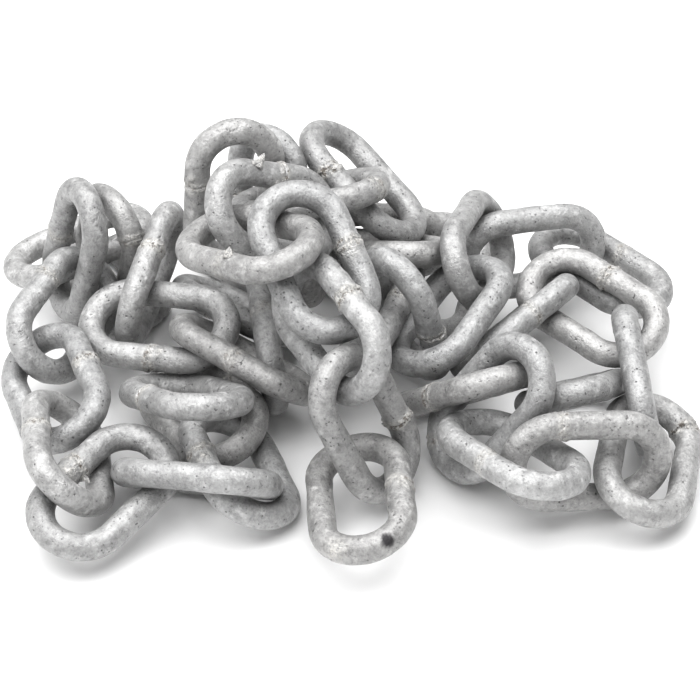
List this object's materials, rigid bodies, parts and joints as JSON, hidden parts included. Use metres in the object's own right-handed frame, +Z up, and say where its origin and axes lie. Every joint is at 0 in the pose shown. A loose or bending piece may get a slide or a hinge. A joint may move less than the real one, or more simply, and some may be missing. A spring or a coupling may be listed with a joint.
{
  "type": "heap of steel chain",
  "caption": "Loose heap of galvanised short-link welded chain, most links hooked through one another, piled on a level floor.",
  "frame": {"origin": "centre of the bounding box's bottom face, on the floor the heap lies on", "axes": "+Z up, +X along the heap's greatest width, left to right as seen from its front, -Y towards the front"},
  "size_m": [0.1476, 0.1126, 0.0536],
  "materials": {
    "zinc_link_01": "matt hot-dip zinc",
    "zinc_link_02": "matt hot-dip zinc",
    "zinc_link_03": "matt hot-dip zinc",
    "zinc_link_04": "matt hot-dip zinc",
    "zinc_link_05": "matt hot-dip zinc",
    "zinc_link_06": "matt hot-dip zinc",
    "zinc_link_07": "matt hot-dip zinc",
    "zinc_link_08": "matt hot-dip zinc",
    "zinc_link_09": "matt hot-dip zinc",
    "zinc_link_10": "matt hot-dip zinc",
    "zinc_link_11": "matt hot-dip zinc",
    "zinc_link_12": "matt hot-dip zinc",
    "zinc_link_13": "matt hot-dip zinc",
    "zinc_link_14": "matt hot-dip zinc",
    "zinc_link_15": "matt hot-dip zinc",
    "zinc_link_16": "matt hot-dip zinc",
    "zinc_link_17": "matt hot-dip zinc",
    "zinc_link_18": "matt hot-dip zinc",
    "zinc_link_19": "matt hot-dip zinc",
    "zinc_link_20": "matt hot-dip zinc",
    "zinc_link_21": "matt hot-dip zinc",
    "zinc_link_22": "matt hot-dip zinc",
    "zinc_link_23": "matt hot-dip zinc",
    "zinc_link_24": "matt hot-dip zinc",
    "zinc_link_25": "matt hot-dip zinc",
    "zinc_link_26": "matt hot-dip zinc",
    "zinc_link_27": "matt hot-dip zinc",
    "zinc_link_28": "matt hot-dip zinc",
    "zinc_link_29": "matt hot-dip zinc",
    "zinc_link_30": "matt hot-dip zinc",
    "zinc_link_31": "matt hot-dip zinc",
    "zinc_link_32": "matt hot-dip zinc",
    "zinc_link_33": "matt hot-dip zinc",
    "zinc_link_34": "matt hot-dip zinc",
    "zinc_link_35": "matt hot-dip zinc",
    "zinc_link_36": "matt hot-dip zinc",
    "zinc_link_37": "matt hot-dip zinc",
    "zinc_link_38": "matt hot-dip zinc",
    "zinc_link_39": "matt hot-dip zinc",
    "zinc_link_40": "matt hot-dip zinc",
    "zinc_link_41": "matt hot-dip zinc",
    "zinc_link_42": "matt hot-dip zinc",
    "zinc_link_43": "matt hot-dip zinc",
    "zinc_link_44": "matt hot-dip zinc",
    "zinc_link_45": "matt hot-dip zinc",
    "zinc_link_46": "matt hot-dip zinc",
    "zinc_link_47": "matt hot-dip zinc",
    "zinc_link_48": "matt hot-dip zinc"
  },
  "bodies": {
    "root": {"link_01": "zinc_link_01", "link_02": "zinc_link_02", "link_03": "zinc_link_03", "link_04": "zinc_link_04", "link_05": "zinc_link_05", "link_06": "zinc_link_06", "link_07": "zinc_link_07", "link_08": "zinc_link_08", "link_09": "zinc_link_09", "link_10": "zinc_link_10", "link_11": "zinc_link_11", "link_12": "zinc_link_12", "link_13": "zinc_link_13", "link_14": "zinc_link_14", "link_15": "zinc_link_15", "link_16": "zinc_link_16", "link_17": "zinc_link_17", "link_18": "zinc_link_18", "link_19": "zinc_link_19", "link_20": "zinc_link_20", "link_21": "zinc_link_21", "link_22": "zinc_link_22", "link_23": "zinc_link_23", "link_24": "zinc_link_24", "link_25": "zinc_link_25", "link_26": "zinc_link_26", "link_27": "zinc_link_27", "link_28": "zinc_link_28", "link_29": "zinc_link_29", "link_30": "zinc_link_30", "link_31": "zinc_link_31", "link_32": "zinc_link_32", "link_33": "zinc_link_33", "link_34": "zinc_link_34", "link_35": "zinc_link_35", "link_36": "zinc_link_36", "link_37": "zinc_link_37", "link_38": "zinc_link_38", "link_39": "zinc_link_39", "link_40": "zinc_link_40", "link_41": "zinc_link_41", "link_42": "zinc_link_42", "link_43": "zinc_link_43", "link_44": "zinc_link_44", "link_45": "zinc_link_45", "link_46": "zinc_link_46", "link_47": "zinc_link_47", "link_48": "zinc_link_48"}
  },
  "joints": []
}
